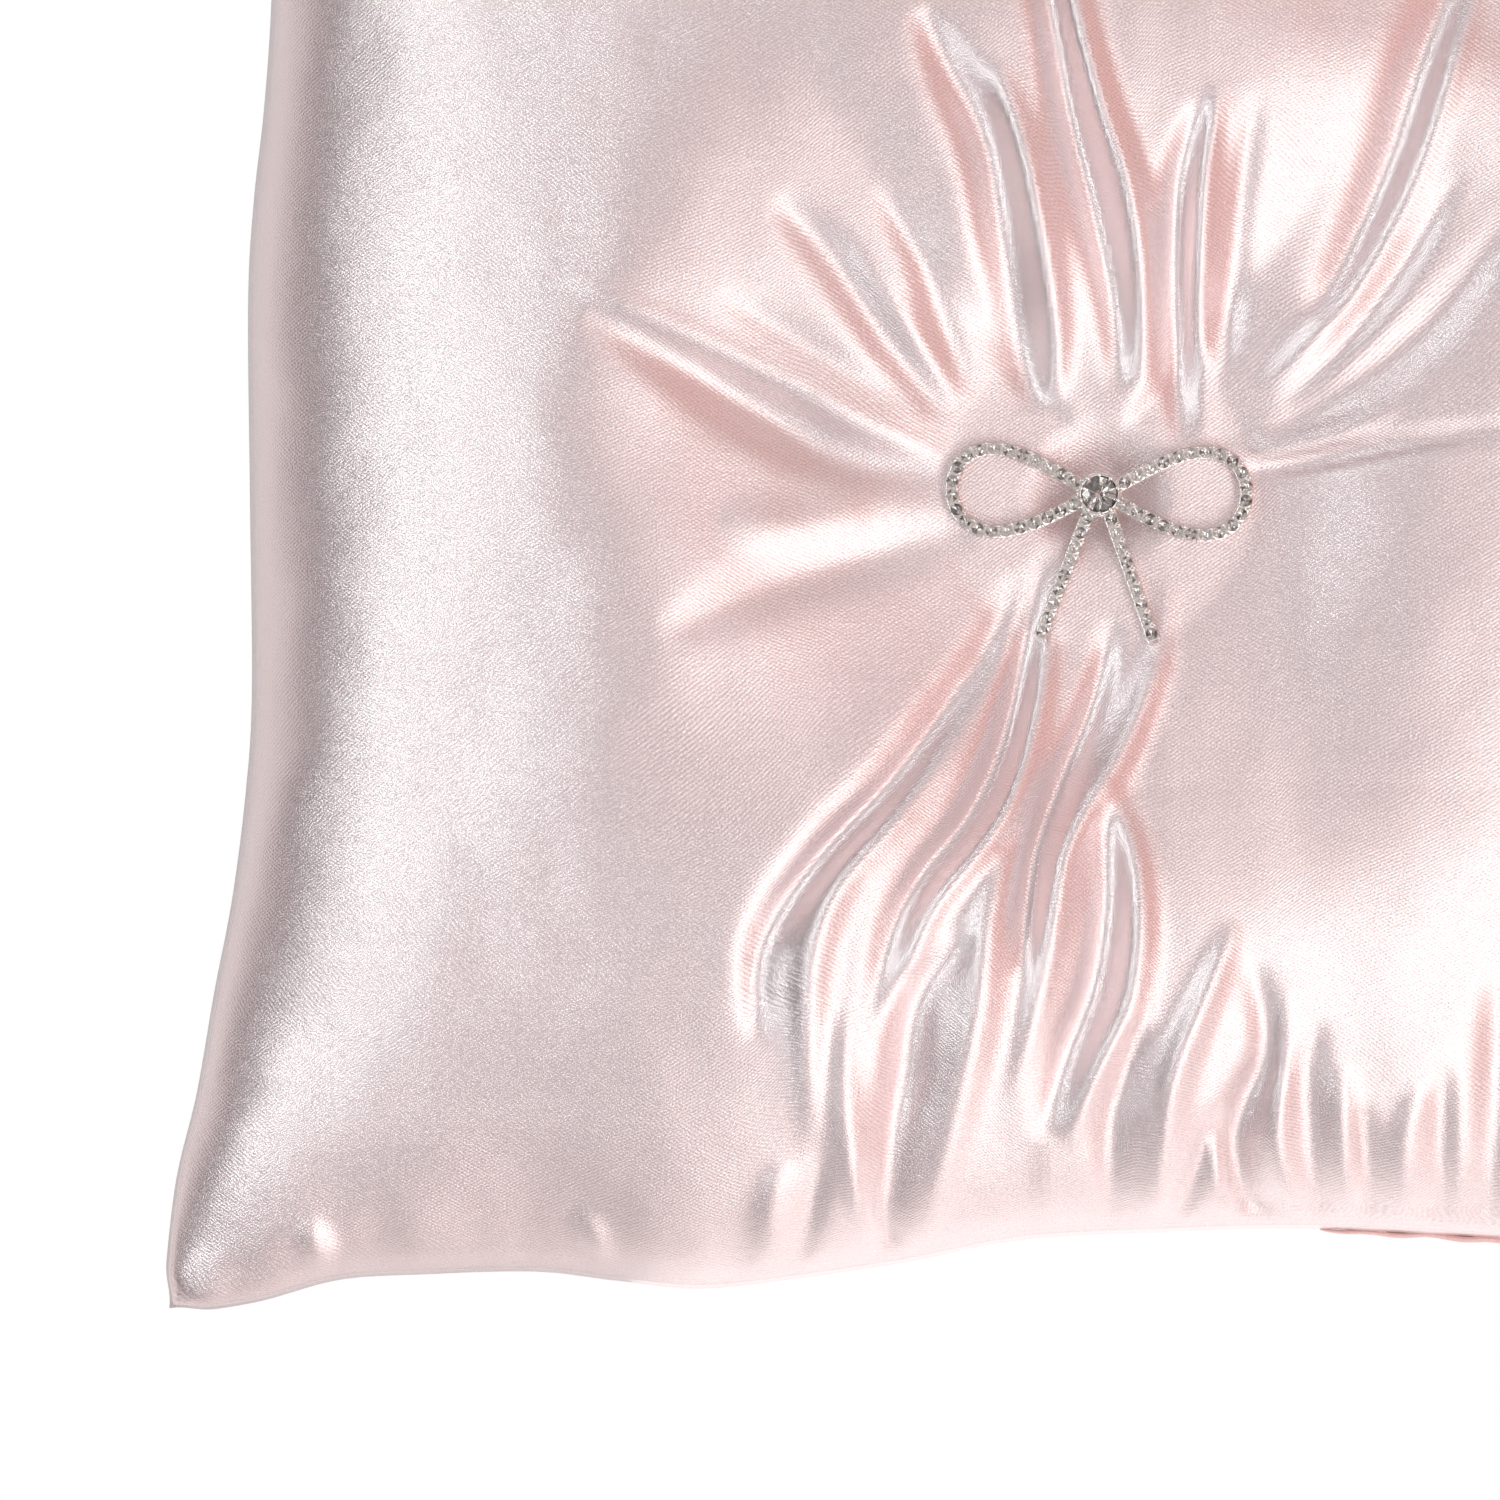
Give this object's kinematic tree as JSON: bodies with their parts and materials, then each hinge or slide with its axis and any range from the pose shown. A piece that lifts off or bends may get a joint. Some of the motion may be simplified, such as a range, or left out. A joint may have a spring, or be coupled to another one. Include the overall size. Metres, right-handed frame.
{
  "type": "ring bearer pillow",
  "caption": "Square stuffed satin velvet cushion, tufted off its middle, with a stone-set metal bow on the front and a flat sewing button behind.",
  "frame": {"origin": "on the surface that the pillow lies on, under the middle of its outline", "axes": "+X to the pillow's right side seen from the front, +Y to its top edge, +Z out of its front"},
  "size_m": [0.2, 0.2, 0.0568],
  "materials": {
    "satin_velvet": "pale pink satin velvet with a short shiny pile",
    "white_fibre": "loose white polyester fibre",
    "pink_thread": "twisted sewing thread",
    "button_plastic": "polished pearly resin",
    "silver_plate": "bright plated cast metal",
    "crystal": "clear faceted glass with a foiled back"
  },
  "bodies": {
    "pillow": {"front_panel": "satin_velvet", "back_panel": "satin_velvet", "fibre_filling": "white_fibre", "seam_thread": "pink_thread", "closing_thread": "pink_thread", "tufting_thread": "pink_thread"},
    "bow": {"bow_frame": "silver_plate", "bow_shank": "silver_plate", "centre_cup": "silver_plate", "centre_stone": "crystal", "left_loop_stones": "crystal", "right_loop_stones": "crystal", "left_tail_stones": "crystal", "right_tail_stones": "crystal"},
    "button": {"back_button": "button_plastic"}
  },
  "joints": [
    {"name": "bow_swivel", "type": "hinge", "parent": "pillow", "child": "bow", "pos_m": [0, -0.012, 0.05], "axis": [0, 0, 1], "range_deg": [-15, 15]},
    {"name": "button_swivel", "type": "hinge", "parent": "pillow", "child": "button", "pos_m": [0, -0.012, 0.0032], "axis": [0, 0, -1], "range_deg": [-15, 15]}
  ]
}
